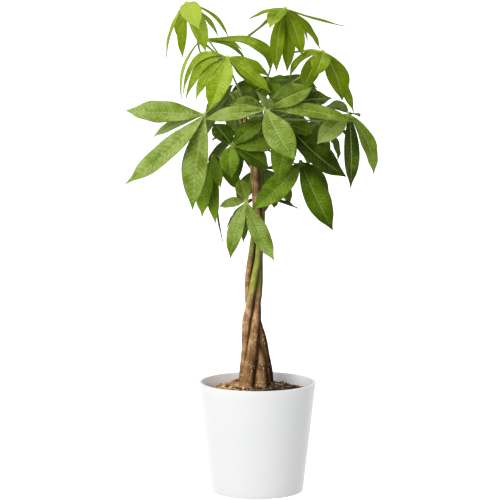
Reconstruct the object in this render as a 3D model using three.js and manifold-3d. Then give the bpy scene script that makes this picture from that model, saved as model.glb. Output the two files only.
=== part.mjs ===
// Potted money tree (Pachira): four braided stems, palmate leaves, soil and a tapered pot.
// Millimetres, +Z up. The origin is the centre of the pot's underside.
import * as THREE from 'three';
import * as BufferGeometryUtils from 'three/addons/utils/BufferGeometryUtils.js';
import Module from 'manifold-3d';

const wasm = await Module();
wasm.setup();

// ---------- driving dimensions ----------
const potHeight = 142;
const potTopRadius = 75.5;
const potFootRadius = 59;
const potWall = 4;
const potFloor = 5;
const potSides = 32;

const soilEdgeHeight = 126;
const soilMoundHeight = 13;
const soilMoundRadius = 46;
const soilRings = 4;
const soilSectors = 20;
const chipCount = 7;

const seatGap = 0.3;
const stemSides = 8;
const stemSteps = 24;

const bladeThickness = 0.8;
const bladeFold = 0.2;
const bladeStations = [0, 0.17, 0.38, 0.61, 0.83, 1];
const rootSink = 2.1;
const rootHalfWidth = 0.8;
const tipHalfWidth = 0.45;
const hubRadius = 2.8;
const petioleRadius = 1.3;
const petioleSides = 5;
const petioleSteps = 5;

// Each stem's centre line from its foot in the soil to its tip: height, x, y and radius.
const stems = [
  {
    name: 'stem_1', colour: 0x8a7a45,
    line: [
      [95, -16, 9, 8.4], [128, -15.5, 8.5, 8.4], [149, -15, 6.2, 7.7], [175, -14.4, 1, 6.6],
      [201, -14.2, -3, 5.9], [220, -14.2, -6.5, 5.5], [234, -11.5, -8.5, 5.1], [254, -8.2, -9, 4.6],
      [280, -3.2, -7.5, 4.5], [306, 1.3, -5, 4.2], [337, 2, -3.5, 4], [374, 0, -3, 3.8],
      [420, -3, -3, 3.4], [465, -12, -4, 3.1], [502, -20, -4, 2.6],
    ],
  },
  {
    name: 'stem_2', colour: 0x7d6245,
    line: [
      [95, -13.5, -9, 9], [128, -14, -9, 9], [149, -12.5, -10.5, 8.4], [175, -7.5, -10.5, 7.2],
      [201, -4.5, -9, 6.2], [220, -2.5, -6.5, 5.6], [234, -1.5, -4, 5.1], [254, 1.2, -0.5, 4.8],
      [280, 2.6, 1.2, 4.5], [306, 3, 3, 4.2], [337, 5.5, 4, 3.9], [374, 6.5, 5, 3.6],
      [420, 4, 5, 3.3], [460, 3, 4, 3], [495, 5, 2, 2.5],
    ],
  },
  {
    name: 'stem_3', colour: 0x84694c,
    line: [
      [95, 4.5, -10, 9.4], [128, 4.5, -9.5, 9.2], [149, 5, -6.5, 8], [175, 3.5, -1.5, 6.8],
      [201, 0, 4.5, 5.8], [220, -5.5, 8, 5.4], [234, -9.2, 6.5, 5], [254, -11.4, 1.5, 4.6],
      [280, -11.2, -0.5, 4.5], [306, -7.6, 0, 4.3], [337, -4, 3, 4], [374, -3, 5.5, 3.7],
      [420, -7, 6, 3.4], [460, -17, 8, 3], [488, -24, 11, 2.5],
    ],
  },
  {
    name: 'stem_4', colour: 0x6e5640,
    line: [
      [95, 11, 10, 8.5], [128, 11, 9.5, 8.5], [149, 11.5, 7.5, 7.8], [175, 9.2, 2, 6.7],
      [201, 5.2, -2, 5.7], [220, 0.2, 1.5, 5.2], [234, 0, 5, 4.9], [254, -1, 8, 4.6],
      [280, -2.5, 8, 4.4], [306, -1, 9, 4.2], [337, 1, 11, 4], [374, 2, 13, 3.7],
      [420, 4, 14, 3.3], [455, 7, 16, 3], [482, 8, 20, 2.5],
    ],
  },
];

// Each leaf: its stem, the height where it leaves it, its hub, the way its upper side faces
// and its leaflets.
const leaves = [
  {
    name: 'leaf_a', stem: 1, height: 497, hub: [-90, -10, 627], face: [-0.3, -0.4, 0.85], tone: 'young',
    leaflets: [
      { tip: [-116, 14, 556], width: 14, arch: 0.07 },
      { tip: [-94, -24, 558], width: 15, arch: 0.06 },
      { tip: [-65, -34, 566], width: 21, arch: 0.2, sway: -0.05 },
      { tip: [-50, 28, 583], width: 17, arch: 0.06 },
      { tip: [-37, 44, 581], width: 16, arch: 0.1 },
      { tip: [-73, -62, 596], width: 27, arch: 0.14 },
      { tip: [-98, 50, 574], width: 14, arch: 0.1 },
    ],
  },
  {
    name: 'leaf_b', stem: 1, height: 489, hub: [-38, -45, 561], face: [-0.1, -0.5, 0.85], tone: 'young',
    leaflets: [
      { tip: [-94, -30, 512], width: 17, arch: 0.32, lean: -0.13 },
      { tip: [-90, -52, 508], width: 18, arch: 0.24, lean: -0.1 },
      { tip: [-77, -72, 509], width: 16, arch: 0.15 },
      { tip: [-60, -98, 498], width: 32, arch: 0.08, sway: -0.05 },
      { tip: [-2, -48, 523], width: 21, arch: 0.06 },
      { tip: [16, -88, 519], width: 19, arch: 0.03 },
      { tip: [15, -54, 536], width: 20, arch: 0.08 },
    ],
  },
  {
    name: 'leaf_c', stem: 3, height: 487, hub: [-75, 16, 577], face: [0.1, -0.3, 0.94], tone: 'young',
    leaflets: [
      { tip: [-97, 14, 504], width: 14, arch: 0.1, sway: 0.06, roll: 50 },
      { tip: [-18, -4, 567], width: 21, arch: 0.1 },
      { tip: [16, -14, 539], width: 33, arch: 0.26, lean: 0.19 },
      { tip: [-13, 24, 550], width: 24, arch: 0.16 },
      { tip: [-45, 44, 536], width: 20, arch: 0.12 },
    ],
  },
  {
    name: 'leaf_d', stem: 2, height: 491, hub: [35, -5, 620], face: [0, -0.35, 0.95], tone: 'young',
    leaflets: [
      { tip: [-12, 14, 605], width: 14, arch: 0.04 },
      { tip: [-17, 32, 577], width: 28, arch: 0.01, sway: -0.04 },
      { tip: [15, -56, 597], width: 23, arch: 0.1 },
      { tip: [24, -38, 541], width: 18, arch: 0.07, sway: 0.04 },
      { tip: [37, -20, 540], width: 18, arch: 0.06, sway: -0.03 },
      { tip: [56, -32, 561], width: 20, arch: 0.08 },
      { tip: [64, 30, 577], width: 14, arch: 0.08 },
      { tip: [80, 2, 567], width: 20, arch: 0.07 },
      { tip: [113, 22, 596], width: 16, arch: -0.03, roll: -25 },
    ],
  },
  {
    name: 'leaf_e', stem: 2, height: 483, hub: [82, -25, 567], face: [0.2, -0.4, 0.9], tone: 'young',
    leaflets: [
      { tip: [37, 14, 561], width: 12, arch: 0.03 },
      { tip: [40, -14, 530], width: 18, arch: 0.2 },
      { tip: [57, -42, 518], width: 24, arch: 0.12 },
      { tip: [69, -78, 538], width: 24, arch: 0.1, sway: -0.04 },
      { tip: [106, -46, 506], width: 35, arch: 0.1 },
      { tip: [122, -16, 488], width: 27, arch: 0.04, sway: 0.02 },
    ],
  },
  {
    name: 'leaf_f', stem: 1, height: 470, hub: [11, -95, 499], face: [0, -0.78, 0.62],
    leaflets: [
      { tip: [-65, -84, 486], width: 21, arch: 0.05, sway: -0.02 },
      { tip: [-37, -72, 504], width: 25, arch: 0.06 },
      { tip: [3, -142, 521], width: 26, arch: 0.05 },
      { tip: [68, -76, 525], width: 33, arch: 0.06 },
      { tip: [93, -54, 510], width: 30, arch: 0.06 },
      { tip: [119, -94, 483], width: 21, arch: 0.05, sway: -0.03 },
      { tip: [46, -130, 440], width: 37, arch: 0.06, sway: 0.06 },
    ],
  },
  {
    name: 'leaf_g', stem: 1, height: 481, hub: [-66, -60, 490], face: [-0.4, -0.7, 0.62],
    leaflets: [
      { tip: [-165, -52, 494], width: 32, arch: 0.05, sway: -0.04 },
      { tip: [-132, -30, 459], width: 17, arch: 0.03, sway: 0.04 },
      { tip: [-165, -84, 405], width: 34, arch: 0.03, sway: -0.07 },
      { tip: [-81, -84, 373], width: 37, arch: 0.04 },
      { tip: [-30, -38, 526], width: 19, arch: 0.05 },
    ],
  },
  {
    name: 'leaf_h', stem: 1, height: 455, hub: [-32, -72, 452], face: [0, -0.65, 0.75], tone: 'dark',
    leaflets: [
      { tip: [-32, -108, 415], width: 25, arch: 0.07, sway: 0.06 },
      { tip: [7, -62, 483], width: 27, arch: 0.05 },
      { tip: [24, -64, 451], width: 29, arch: 0.05, sway: 0.03 },
      { tip: [14, -68, 424], width: 31, arch: 0.06 },
      { tip: [-55, -54, 478], width: 27, arch: 0.05 },
    ],
  },
  {
    name: 'leaf_i', stem: 1, height: 425, hub: [-14, -66, 382], face: [0, -0.65, 0.75],
    leaflets: [
      { tip: [-23, -58, 409], width: 20, arch: 0.04 },
      { tip: [-48, -64, 375], width: 17, arch: 0.05 },
      { tip: [-34, -88, 312], width: 20, arch: 0.06, sway: 0.03 },
      { tip: [-18, -62, 329], width: 11, arch: 0.04 },
      { tip: [21, -90, 310], width: 24, arch: 0.05, sway: 0.05 },
    ],
  },
  {
    name: 'leaf_j', stem: 2, height: 436, hub: [54, -52, 430], face: [0.1, -0.7, 0.7], tone: 'dark',
    leaflets: [
      { tip: [-7, -92, 374], width: 32, arch: 0.06, sway: -0.06 },
      { tip: [94, -74, 346], width: 35, arch: 0.05, sway: 0.04 },
      { tip: [90, -42, 390], width: 18, arch: 0.04, sway: -0.05 },
    ],
  },
  {
    name: 'leaf_k', stem: 2, height: 455, hub: [38, -50, 477], face: [0.2, -0.7, 0.7], tone: 'dark',
    leaflets: [
      { tip: [111, -60, 412], width: 38, arch: 0.06, sway: 0.11 },
      { tip: [69, -54, 465], width: 24, arch: 0.04 },
      { tip: [60, -68, 436], width: 20, arch: 0.05, sway: -0.05 },
      { tip: [24, -100, 409], width: 32, arch: 0.1 },
    ],
  },
  {
    name: 'leaf_l', stem: 2, height: 465, hub: [115, -36, 489], face: [0.3, -0.65, 0.7],
    leaflets: [
      { tip: [74, -62, 453], width: 27, arch: 0.06 },
      { tip: [116, -66, 398], width: 22, arch: 0.05 },
      { tip: [146, -48, 413], width: 23, arch: 0.1, sway: -0.04 },
      { tip: [127, -72, 488], width: 12, arch: 0.05 },
      { tip: [82, -6, 493], width: 26, arch: 0.16 },
    ],
  },
  {
    name: 'leaf_n', stem: 3, height: 455, hub: [-56, -22, 434], face: [-0.3, -0.55, 0.8], tone: 'dark',
    leaflets: [
      { tip: [-70, -34, 358], width: 24, arch: 0.06 },
      { tip: [-53, -30, 349], width: 18, arch: 0.05 },
      { tip: [-44, -12, 321], width: 14, arch: 0.05, roll: 65 },
      { tip: [-46, -60, 398], width: 15, arch: 0.05 },
      { tip: [-22, -8, 390], width: 22, arch: 0.06 },
    ],
  },
  {
    name: 'leaf_p', stem: 2, height: 473, hub: [13, -22, 530], face: [-0.1, -0.6, 0.8], tone: 'dark',
    leaflets: [
      { tip: [-18, -38, 515], width: 26, arch: 0.05 },
      { tip: [0, -52, 504], width: 24, arch: 0.08 },
      { tip: [41, -24, 531], width: 15, arch: 0.04 },
      { tip: [34, -44, 497], width: 24, arch: 0.08 },
    ],
  },
  {
    name: 'leaf_q', stem: 3, height: 462, hub: [-17, 30, 458], face: [-0.3, 0.25, 0.9], tone: 'dark',
    leaflets: [
      { tip: [-59, 26, 450], width: 25, arch: 0.08 },
      { tip: [-63, 62, 408], width: 28, arch: 0.1 },
      { tip: [-28, 92, 382], width: 28, arch: 0.1 },
      { tip: [6, 88, 393], width: 27, arch: 0.1 },
      { tip: [16, 60, 435], width: 24, arch: 0.1 },
    ],
  },
  {
    name: 'leaf_r', stem: 4, height: 468, hub: [44, 46, 490], face: [0.3, 0.3, 0.85],
    leaflets: [
      { tip: [104, 52, 477], width: 28, arch: 0.08 },
      { tip: [103, 88, 435], width: 30, arch: 0.1 },
      { tip: [67, 118, 405], width: 30, arch: 0.1 },
      { tip: [22, 112, 417], width: 28, arch: 0.1 },
      { tip: [6, 80, 461], width: 24, arch: 0.1 },
    ],
  },
  {
    name: 'leaf_s', stem: 3, height: 474, hub: [-27, 46, 511], face: [-0.3, 0.35, 0.85],
    leaflets: [
      { tip: [-66, 60, 491], width: 24, arch: 0.08 },
      { tip: [-66, 102, 450], width: 28, arch: 0.1 },
      { tip: [-25, 124, 439], width: 28, arch: 0.1 },
      { tip: [6, 110, 461], width: 27, arch: 0.1 },
      { tip: [14, 76, 498], width: 24, arch: 0.1 },
    ],
  },
  {
    name: 'leaf_t', stem: 4, height: 440, hub: [6, 48, 412], face: [0.1, 0.35, 0.85], tone: 'dark',
    leaflets: [
      { tip: [46, 58, 401], width: 25, arch: 0.08 },
      { tip: [43, 90, 358], width: 28, arch: 0.1 },
      { tip: [4, 104, 338], width: 28, arch: 0.1 },
      { tip: [-25, 82, 359], width: 25, arch: 0.1 },
    ],
  },
  {
    name: 'leaf_u', stem: 4, height: 477, hub: [23, 60, 528], face: [0, 0.35, 0.85],
    leaflets: [
      { tip: [-38, 80, 503], width: 26, arch: 0.08 },
      { tip: [-20, 132, 483], width: 28, arch: 0.1 },
      { tip: [34, 150, 477], width: 29, arch: 0.1 },
      { tip: [82, 120, 490], width: 28, arch: 0.1 },
      { tip: [78, 70, 514], width: 24, arch: 0.08 },
    ],
  },
  {
    name: 'leaf_v', stem: 4, height: 455, hub: [77, 24, 474], face: [0.6, 0.1, 0.75], tone: 'dark',
    leaflets: [
      { tip: [114, 44, 455], width: 28, arch: 0.1 },
      { tip: [104, 42, 423], width: 28, arch: 0.1 },
      { tip: [79, 62, 411], width: 28, arch: 0.1 },
      { tip: [53, 68, 436], width: 26, arch: 0.1 },
    ],
  },
  {
    name: 'leaf_w', stem: 4, height: 420, hub: [6, 34, 378], face: [0.3, -0.1, 0.9], tone: 'dark',
    leaflets: [
      { tip: [53, 12, 364], width: 24, arch: 0.02, sway: 0.08 },
      { tip: [22, 62, 359], width: 20, arch: 0.1 },
      { tip: [-40, 44, 335], width: 26, arch: 0.1 },
    ],
  },
];

// ---------- shared helpers ----------
const up = new THREE.Vector3(0, 0, 1);

// Small seeded generator, so each build scatters its pieces the same way.
function seededRandom(seed) {
  let state = seed;
  return () => {
    state = (state * 1664525 + 1013904223) % 4294967296;
    return state / 4294967296;
  };
}

// A closed geometry as a solid that can be joined and cut.
function toSolid(geometry) {
  const plain = geometry.clone();
  plain.deleteAttribute('normal');
  plain.deleteAttribute('uv');
  const merged = BufferGeometryUtils.mergeVertices(plain, 1e-4);
  return new wasm.Manifold(new wasm.Mesh({
    numProp: 3,
    vertProperties: new Float32Array(merged.attributes.position.array),
    triVerts: new Uint32Array(merged.index.array),
  }));
}

function toGeometry(solid) {
  const mesh = solid.getMesh();
  const geometry = new THREE.BufferGeometry();
  geometry.setAttribute('position', new THREE.BufferAttribute(mesh.vertProperties, 3));
  geometry.setIndex(new THREE.BufferAttribute(mesh.triVerts, 1));
  geometry.computeVertexNormals();
  return geometry;
}

// The largest body of a solid, without the scraps that a cut leaves.
function mainBody(solid) {
  const bodies = solid.decompose();
  bodies.sort((a, b) => b.volume() - a.volume());
  return bodies[0];
}

// Skins a list of rings, each the same number of points, into one closed body.
// flipped lists the columns whose squares are split along their other diagonal.
function skinRings(rings, flipped = []) {
  const count = rings[0].length;
  const positions = rings.flat().flatMap((p) => [p.x, p.y, p.z]);
  const faces = [];
  for (let i = 0; i < rings.length - 1; i += 1) {
    for (let j = 0; j < count; j += 1) {
      const a = i * count + j;
      const b = i * count + ((j + 1) % count);
      const c = b + count;
      const d = a + count;
      if (flipped.includes(j)) {
        faces.push(a, b, d, b, c, d);
      } else {
        faces.push(a, b, c, a, c, d);
      }
    }
  }
  const last = (rings.length - 1) * count;
  for (let j = 1; j < count - 1; j += 1) {
    faces.push(0, j + 1, j);
    faces.push(last, last + j, last + j + 1);
  }
  const geometry = new THREE.BufferGeometry();
  geometry.setAttribute('position', new THREE.Float32BufferAttribute(positions, 3));
  geometry.setIndex(faces);
  return geometry;
}

// A ring of points around a centre, square to the direction along.
function ringAround(centre, along, radius, sides, side = new THREE.Vector3(1, 0, 0)) {
  const u = side.clone().addScaledVector(along, -side.dot(along)).normalize();
  const v = along.clone().cross(u);
  const ring = [];
  for (let j = 0; j < sides; j += 1) {
    const angle = (2 * Math.PI * j) / sides;
    const point = centre.clone();
    point.addScaledVector(u, radius * Math.cos(angle));
    point.addScaledVector(v, radius * Math.sin(angle));
    ring.push(point);
  }
  return ring;
}

const root = new THREE.Group();

function addPart(name, solid, colour, roughness) {
  const material = new THREE.MeshStandardMaterial({ color: colour, roughness, metalness: 0 });
  const mesh = new THREE.Mesh(toGeometry(solid), material);
  mesh.name = name;
  root.add(mesh);
}

// ---------- pot ----------
function potRadiusAt(height) {
  return potFootRadius + ((potTopRadius - potFootRadius) * height) / potHeight;
}

const potProfile = [
  [0, 0], [potFootRadius - 1.6, 0], [potRadiusAt(1.6), 1.6],
  [potRadiusAt(potHeight - 1.2), potHeight - 1.2], [potTopRadius - 0.9, potHeight],
  [potTopRadius - potWall + 0.9, potHeight], [potTopRadius - potWall - 0.1, potHeight - 1.2],
  [potRadiusAt(potFloor + 4) - potWall, potFloor + 4], [potFootRadius - potWall - 3, potFloor], [0, potFloor],
].map(([radius, height]) => new THREE.Vector2(radius, height));
const potGeometry = new THREE.LatheGeometry(potProfile, potSides).rotateX(Math.PI / 2);
addPart('pot', toSolid(potGeometry), 0xf4f5f5, 0.35);

// ---------- stems ----------
// A stem's centre and radius at a height, from its listed line.
function stemAt(stem, height) {
  const line = stem.line;
  let k = 0;
  while (k < line.length - 2 && line[k + 1][0] < height) k += 1;
  const [from, to] = [line[k], line[k + 1]];
  const before = line[Math.max(k - 1, 0)];
  const after = line[Math.min(k + 2, line.length - 1)];
  const t = Math.min(Math.max((height - from[0]) / (to[0] - from[0]), 0), 1);
  const blend = [1, 2, 3].map((axis) => {
    const slopeIn = (to[axis] - before[axis]) / (to[0] - before[0] || 1);
    const slopeOut = (after[axis] - from[axis]) / (after[0] - from[0] || 1);
    const rise = to[0] - from[0];
    const [h0, h1] = [(1 + 2 * t) * (1 - t) ** 2, t * (1 - t) ** 2];
    const [h2, h3] = [t * t * (3 - 2 * t), t * t * (t - 1)];
    return h0 * from[axis] + h1 * rise * slopeIn + h2 * to[axis] + h3 * rise * slopeOut;
  });
  return { centre: new THREE.Vector3(blend[0], blend[1], height), radius: blend[2] };
}

function stemSolid(stem, extra) {
  const foot = stem.line[0][0] - extra;
  const tip = stem.line[stem.line.length - 1][0] + extra;
  const rings = [];
  for (let i = 0; i <= stemSteps; i += 1) {
    const height = foot + ((tip - foot) * i) / stemSteps;
    const here = stemAt(stem, height);
    const ahead = stemAt(stem, height + 1).centre.setZ(height + 1);
    const behind = stemAt(stem, height - 1).centre.setZ(height - 1);
    const along = ahead.sub(behind).normalize();
    rings.push(ringAround(here.centre, along, here.radius + extra, stemSides));
  }
  return toSolid(skinRings(rings));
}

// Where two stems press together, the later one is hollowed to clear the earlier one.
const stemClearances = stems.map((stem) => stemSolid(stem, seatGap));
const cutOrder = [1, 0, 2, 3];
cutOrder.forEach((index, turn) => {
  let solid = stemSolid(stems[index], 0);
  for (const earlier of cutOrder.slice(0, turn)) {
    solid = solid.subtract(stemClearances[earlier]);
  }
  addPart(stems[index].name, mainBody(solid), stems[index].colour, 0.8);
});

// ---------- soil ----------
// A mound around the stems that falls towards the wall, a little uneven.
function soilHeight(x, y) {
  const spread = Math.hypot(x, y) / soilMoundRadius;
  const lumps = 1.4 * Math.sin(x * 0.31 + 1) * Math.cos(y * 0.27) + 0.8 * Math.sin(x * 0.12 - y * 0.2);
  return soilEdgeHeight + soilMoundHeight * Math.exp(-spread * spread) + lumps;
}

function soilSolid() {
  const bottom = potFloor + seatGap;
  const wallGap = potWall + seatGap;
  const rings = [];
  const ringAt = (radius, heightAt) => {
    const ring = [];
    for (let j = 0; j < soilSectors; j += 1) {
      const angle = (2 * Math.PI * j) / soilSectors;
      const [x, y] = [radius * Math.cos(angle), radius * Math.sin(angle)];
      ring.push(new THREE.Vector3(x, y, heightAt(x, y)));
    }
    return ring;
  };
  const footRadius = potFootRadius - potWall - 4;
  const rim = potRadiusAt(soilEdgeHeight - 3) - wallGap - 0.4;
  rings.push(ringAt(0.5, () => bottom));
  rings.push(ringAt(footRadius, () => bottom));
  rings.push(ringAt(potRadiusAt(potFloor + 5) - wallGap - 0.6, () => potFloor + 5));
  for (let i = soilRings; i > 0; i -= 1) {
    rings.push(ringAt((rim * i) / soilRings, soilHeight));
  }
  rings.push(ringAt(0.5, soilHeight));
  return toSolid(skinRings(rings));
}

const random = seededRandom(11);
let soil = soilSolid();
for (let i = 0; i < chipCount; i += 1) {
  const angle = 2 * Math.PI * random();
  const radius = 24 + 36 * random();
  const [x, y] = [radius * Math.cos(angle), radius * Math.sin(angle)];
  const chip = new THREE.BoxGeometry(8 + 6 * random(), 5 + 3 * random(), 4.5);
  chip.rotateY(0.5 * (random() - 0.5));
  chip.rotateZ(Math.PI * random());
  chip.translate(x, y, soilHeight(x, y));
  soil = soil.add(toSolid(chip));
}
for (const clearance of stemClearances) {
  soil = soil.subtract(clearance);
}
addPart('soil', mainBody(soil), 0x6b4f38, 0.95);

// ---------- leaves ----------
// Half the width of a blade at t along it, as a share of its full width.
function bladeHalfWidth(t) {
  const swell = Math.sin(Math.PI * Math.min(Math.max(t, 0), 1) ** 1.12) ** 0.92;
  return 0.5 * swell;
}

// One leaflet: a folded blade along its midrib, from just inside the hub to its tip.
// arch lifts the midrib's middle, sway moves it sideways and lean along; roll turns the blade, in degrees.
function leafletSolid(hub, face, leaflet) {
  const { arch, sway = 0, lean = 0, roll = 0, width } = leaflet;
  const tip = new THREE.Vector3(...leaflet.tip);
  const chord = tip.clone().sub(hub);
  const length = chord.length();
  const along = chord.clone().normalize();
  const lift = face.clone().addScaledVector(along, -face.dot(along)).normalize();
  const side = along.clone().cross(lift).normalize();
  const bend = hub.clone().add(tip).multiplyScalar(0.5);
  bend.addScaledVector(lift, 2 * arch * length).addScaledVector(side, 2 * sway * length);
  bend.addScaledVector(along, 2 * lean * length);
  const midrib = new THREE.QuadraticBezierCurve3(hub, bend, tip);
  const turned = side.clone().applyAxisAngle(along, THREE.MathUtils.degToRad(roll));
  const rings = bladeStations.map((station) => {
    const t = Math.max(station, rootSink / length);
    const centre = midrib.getPoint(t);
    const tangent = midrib.getTangent(t);
    const across = turned.clone().addScaledVector(tangent, -turned.dot(tangent)).normalize();
    const normal = across.clone().cross(tangent).normalize();
    const half = Math.max(width * bladeHalfWidth(t), t < 0.5 ? rootHalfWidth : tipHalfWidth);
    const raise = half * bladeFold;
    const left = centre.clone().addScaledVector(across, -half).addScaledVector(normal, raise);
    const right = centre.clone().addScaledVector(across, half).addScaledVector(normal, raise);
    const top = [left, centre, right];
    const under = top.map((point) => point.clone().addScaledVector(normal, -bladeThickness));
    return [top[0], top[1], top[2], under[2], under[1], under[0]];
  });
  return toSolid(skinRings(rings, [1, 4]));
}

// The leaf's stalk, from the middle of its stem to the hub, arriving from behind the leaf.
function petioleSolid(leaf, hub, face) {
  const foot = stemAt(stems[leaf.stem - 1], leaf.height).centre;
  const reach = foot.distanceTo(hub);
  const bow = new THREE.Vector3(...(leaf.bow ?? [0, 0, 0]));
  const rise = foot.clone().addScaledVector(up, 0.25 * reach).add(bow);
  const arrive = hub.clone().addScaledVector(face, -0.3 * reach).add(bow);
  const curve = new THREE.CubicBezierCurve3(foot, rise, arrive, hub);
  const rings = [];
  for (let i = 0; i <= petioleSteps; i += 1) {
    const t = i / petioleSteps;
    rings.push(ringAround(curve.getPoint(t), curve.getTangent(t), petioleRadius, petioleSides, up));
  }
  return toSolid(skinRings(rings));
}

const leafColours = { young: 0x9cc13c, mid: 0x6f9a35, dark: 0x47701f };

for (const leaf of leaves) {
  const hub = new THREE.Vector3(...leaf.hub);
  const face = new THREE.Vector3(...leaf.face).normalize();
  const knot = new THREE.SphereGeometry(hubRadius, 6, 4).translate(hub.x, hub.y, hub.z);
  let solid = toSolid(knot).add(petioleSolid(leaf, hub, face));
  for (const leaflet of leaf.leaflets) {
    solid = solid.add(leafletSolid(hub, face, leaflet));
  }
  for (const clearance of stemClearances) {
    solid = solid.subtract(clearance);
  }
  addPart(leaf.name, mainBody(solid), leafColours[leaf.tone ?? 'mid'], 0.45);
}

export default root;
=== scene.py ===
import math
import random
import bpy
from mathutils import Matrix, Vector, noise


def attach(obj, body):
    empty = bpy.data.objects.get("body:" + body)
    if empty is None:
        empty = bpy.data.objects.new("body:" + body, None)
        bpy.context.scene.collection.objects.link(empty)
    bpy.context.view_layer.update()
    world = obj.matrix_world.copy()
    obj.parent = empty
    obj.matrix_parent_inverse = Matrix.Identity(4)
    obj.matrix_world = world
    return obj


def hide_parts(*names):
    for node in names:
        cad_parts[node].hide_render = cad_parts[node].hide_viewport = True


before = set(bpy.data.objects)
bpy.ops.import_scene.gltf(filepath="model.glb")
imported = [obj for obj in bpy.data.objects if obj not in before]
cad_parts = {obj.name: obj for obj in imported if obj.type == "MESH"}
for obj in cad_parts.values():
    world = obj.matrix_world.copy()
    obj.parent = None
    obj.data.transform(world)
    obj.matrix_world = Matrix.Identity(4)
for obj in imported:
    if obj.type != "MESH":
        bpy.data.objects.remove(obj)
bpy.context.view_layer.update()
scene = bpy.context.scene
mm = 0.001
bpy.ops.object.select_all(action="DESELECT")
print("frame loaded:", len(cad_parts), "nodes")

# the studio: camera, lamps, and the light of the sky
studio = {
    "camera": (-0.0095, -3.5, 0.759), "pitch": 82.72, "lens": 199.0, "sensor": 36.0, "clipEnd": 300.0,
    "sky": (1.0, 1.0, 1.0), "ground": (0.50, 0.50, 0.48), "worldStrength": 0.68, "left": 1.25, "right": 0.88,
    "floor": (0.9, 0.9, 0.9), "floorDull": 0.985, "floorGlow": 0.85, "floorSize": 120,
    "lamps": [
        {"place": (-1.45, -2.7, 1.6), "aim": (0, 0, 0.3),
         "size": 1.5, "power": 50, "colour": (1.0, 0.99, 0.97)},
        {"place": (1.6, -2.2, 1.0), "aim": (0, 0, 0.3),
         "size": 1.4, "power": 3, "colour": (0.97, 0.99, 1.0)},
        {"place": (0.4, 1.3, 2.5), "aim": (0, 0, 0.5),
         "size": 1.0, "power": 10, "colour": (1.0, 1.0, 0.98)},
    ],
}
bpy.ops.object.camera_add(location=studio["camera"], rotation=(math.radians(studio["pitch"]), 0, 0))
eye = bpy.context.object
eye.name = "studioCamera"
eye.data.lens = studio["lens"]
eye.data.sensor_width = studio["sensor"]
eye.data.clip_end = studio["clipEnd"]
scene.camera = eye
for lamp in studio["lamps"]:
    bpy.ops.object.light_add(type="AREA", location=lamp["place"])
    made = bpy.context.object
    made.rotation_euler = (Vector(lamp["aim"]) - Vector(lamp["place"])).to_track_quat("-Z", "Y").to_euler()
    made.data.size = lamp["size"]
    made.data.energy = lamp["power"]
    made.data.color = lamp["colour"]
scene.world = bpy.data.worlds.new("studioWorld")
scene.world.use_nodes = True
scene.world.node_tree.nodes.clear()  # its light is wired below, with the floor
scene.view_settings.view_transform = "Standard"
print("studio ready")


class Wire:  # a socket of a material or the world, which sums can be written with
    def __init__(self, tree, socket=None):
        self.tree = tree
        self.socket = socket

    def node(self, kind, settings=None, inputs=None, output=0):
        made = self.tree.nodes.new(kind)
        for key, value in (settings or {}).items():
            if key == "stops":  # a ramp's stops: place, colour
                ramp = made.color_ramp.elements
                while len(ramp) < len(value):
                    ramp.new(1.0)
                for stop, (place, colour) in zip(ramp, value):
                    stop.position = place
                    stop.color = (*colour, 1)
            else:
                setattr(made, key, value)
        for key, value in (inputs or {}).items():
            if isinstance(value, Wire):
                self.tree.links.new(value.socket, made.inputs[key])
            else:
                made.inputs[key].default_value = value
        return Wire(self.tree, made.outputs[output] if len(made.outputs) else None)

    def sum(self, operation, first, second=0.0):
        return self.node("ShaderNodeMath", {"operation": operation}, {0: first, 1: second})

    def __add__(self, other):
        return self.sum("ADD", self, other)

    def __sub__(self, other):
        return self.sum("SUBTRACT", self, other)

    def __rsub__(self, other):
        return self.sum("SUBTRACT", other, self)

    def __mul__(self, other):
        return self.sum("MULTIPLY", self, other)

    def __pow__(self, other):
        return self.sum("POWER", self, other)

    def __abs__(self):
        return self.sum("ABSOLUTE", self)

    __radd__ = __add__
    __rmul__ = __mul__

    def ease(self, low, high, start=0.0, end=1.0):  # start at low, end at high, smooth between
        span = {"Value": self, "From Min": low, "From Max": high, "To Min": start, "To Max": end}
        return self.node("ShaderNodeMapRange", {"interpolation_type": "SMOOTHSTEP"}, span)

    def blend(self, first, second):  # from the first colour to the second by this factor
        ends = {0: self}
        for key, colour in ((6, first), (7, second)):
            ends[key] = colour if isinstance(colour, Wire) else (*colour, 1)
        return self.node("ShaderNodeMix", {"data_type": "RGBA"}, ends, 2)

    def here(self):  # a point's place on its object
        return self.node("ShaderNodeTexCoord", output=3)

    def axis(self, index):  # one of a vector's three numbers
        return self.node("ShaderNodeSeparateXYZ", {}, {0: self}, index)

    def times(self, other):  # vectors or colours, part by part
        return self.node("ShaderNodeVectorMath", {"operation": "MULTIPLY"}, {0: self, 1: other})

    def noise(self, place, scale, detail, roughness=0.5):
        grain = {"Vector": place, "Scale": scale, "Detail": detail, "Roughness": roughness}
        return self.node("ShaderNodeTexNoise", {}, grain)

    def cells(self, place, scale, feature="F1"):
        return self.node("ShaderNodeTexVoronoi", {"feature": feature}, {"Vector": place, "Scale": scale})

    def marked(self, name):  # the number that mark() left on the points
        return self.node("ShaderNodeAttribute", {"attribute_name": name}, output=2)

    def bump(self, height, strength, distance):
        return self.node("ShaderNodeBump", {}, {"Strength": strength, "Distance": distance, "Height": height})

    def skin(self, sockets):
        return self.node("ShaderNodeBsdfPrincipled", {}, sockets)

    def close(self, surface):
        self.node("ShaderNodeOutputMaterial", {}, {"Surface": surface})


def newFinish(name):
    material = bpy.data.materials.new(name)
    material.use_nodes = True
    material.node_tree.nodes.clear()
    return material, Wire(material.node_tree)


def editing(mode):
    bpy.ops.object.mode_set(mode="EDIT")
    bpy.ops.mesh.select_mode(type=mode)
    bpy.ops.mesh.select_all(action="DESELECT")
    bpy.ops.object.mode_set(mode="OBJECT")


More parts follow.
